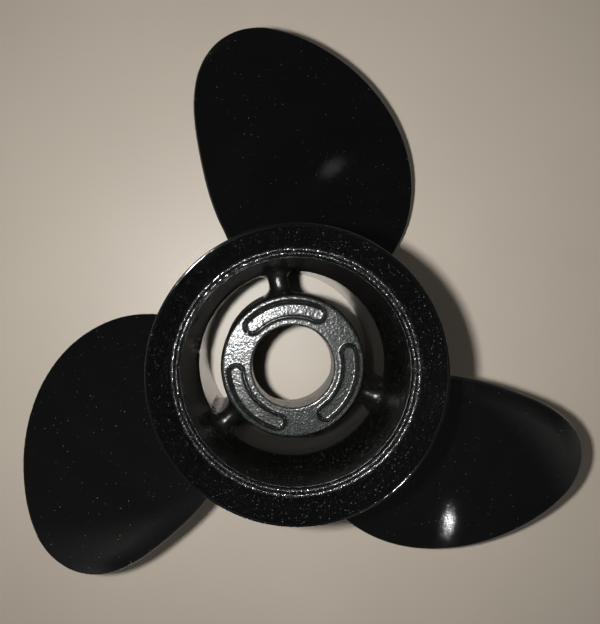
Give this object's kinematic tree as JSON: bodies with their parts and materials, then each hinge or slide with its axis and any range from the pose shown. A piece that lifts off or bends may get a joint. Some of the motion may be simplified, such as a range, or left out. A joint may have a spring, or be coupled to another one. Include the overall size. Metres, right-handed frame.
{
  "type": "outboard motor propeller",
  "caption": "Outboard propeller with skewed round-tipped blades, a through-hub exhaust barrel with a flared aft ring, and an inner hub held by ribs.",
  "frame": {"origin": "the balance point of the casting, on the shaft axis, 49.3 mm aft of the barrel's forward end face", "axes": "+Z along the shaft axis, aft, towards the flared end; +Y and +X are square to it, with the first blade's tip 4 degrees past +Y"},
  "size_m": [0.2395, 0.2231, 0.118],
  "materials": {
    "gloss_black_paint": "gloss black paint on machined and polished cast aluminium",
    "painted_core_wall": "black paint on smooth cast aluminium, semi-gloss",
    "painted_rough_casting": "black paint on grainy cast aluminium, semi-gloss"
  },
  "bodies": {
    "root": {"barrel": "painted_core_wall", "diffuser_ring": "gloss_black_paint", "inner_hub": "painted_rough_casting", "rib_1": "painted_core_wall", "rib_2": "painted_core_wall", "rib_3": "painted_core_wall", "blade_1": "gloss_black_paint", "blade_2": "gloss_black_paint", "blade_3": "gloss_black_paint"}
  },
  "joints": []
}
